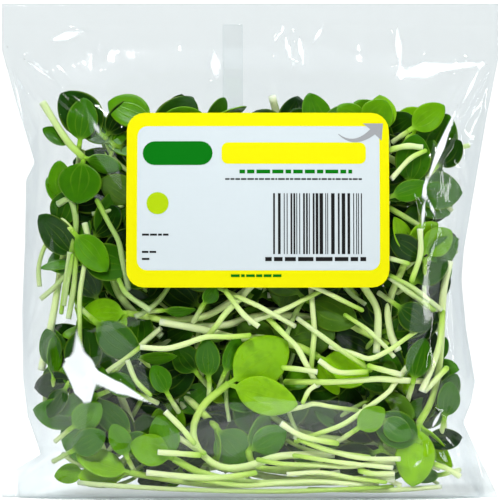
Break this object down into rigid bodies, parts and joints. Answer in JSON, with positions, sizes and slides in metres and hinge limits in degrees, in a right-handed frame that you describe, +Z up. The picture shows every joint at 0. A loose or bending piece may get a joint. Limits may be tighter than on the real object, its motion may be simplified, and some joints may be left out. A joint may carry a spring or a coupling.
{
  "type": "bag of sunflower microgreens",
  "caption": "Sealed clear film bag of loose cut sunflower microgreens, standing upright on its folded base, with a flat top seal and a plain label on the front.",
  "frame": {"origin": "on the ground under the middle of the bag", "axes": "+Z up to the top seal, which runs along X; the label faces -Y"},
  "size_m": [0.172, 0.0527, 0.171],
  "materials": {
    "film": "clear, thin and creased, with sharp white highlights",
    "label": "smooth printed paper with a yellow border round a pale panel",
    "greens": "fresh leaf green with a soft sheen, pale green on the stems"
  },
  "bodies": {
    "root": {"film_bag": "film", "label": "label", "sprout_01": "greens", "sprout_02": "greens", "sprout_03": "greens", "sprout_04": "greens", "sprout_05": "greens", "sprout_06": "greens", "sprout_07": "greens", "sprout_08": "greens", "sprout_09": "greens", "sprout_10": "greens", "sprout_11": "greens", "sprout_12": "greens", "sprout_13": "greens", "sprout_14": "greens", "sprout_15": "greens", "sprout_16": "greens", "sprout_17": "greens", "sprout_18": "greens", "sprout_19": "greens", "sprout_20": "greens", "sprout_21": "greens", "sprout_22": "greens", "sprout_23": "greens", "sprout_24": "greens", "sprout_25": "greens", "sprout_26": "greens", "sprout_27": "greens", "sprout_28": "greens", "sprout_29": "greens", "sprout_30": "greens", "sprout_31": "greens", "sprout_32": "greens", "sprout_33": "greens", "sprout_34": "greens", "sprout_35": "greens", "sprout_36": "greens", "sprout_37": "greens", "sprout_38": "greens", "sprout_39": "greens", "sprout_40": "greens", "sprout_41": "greens", "sprout_42": "greens", "sprout_43": "greens", "sprout_44": "greens", "sprout_45": "greens", "sprout_46": "greens", "sprout_47": "greens", "sprout_48": "greens"}
  },
  "joints": []
}
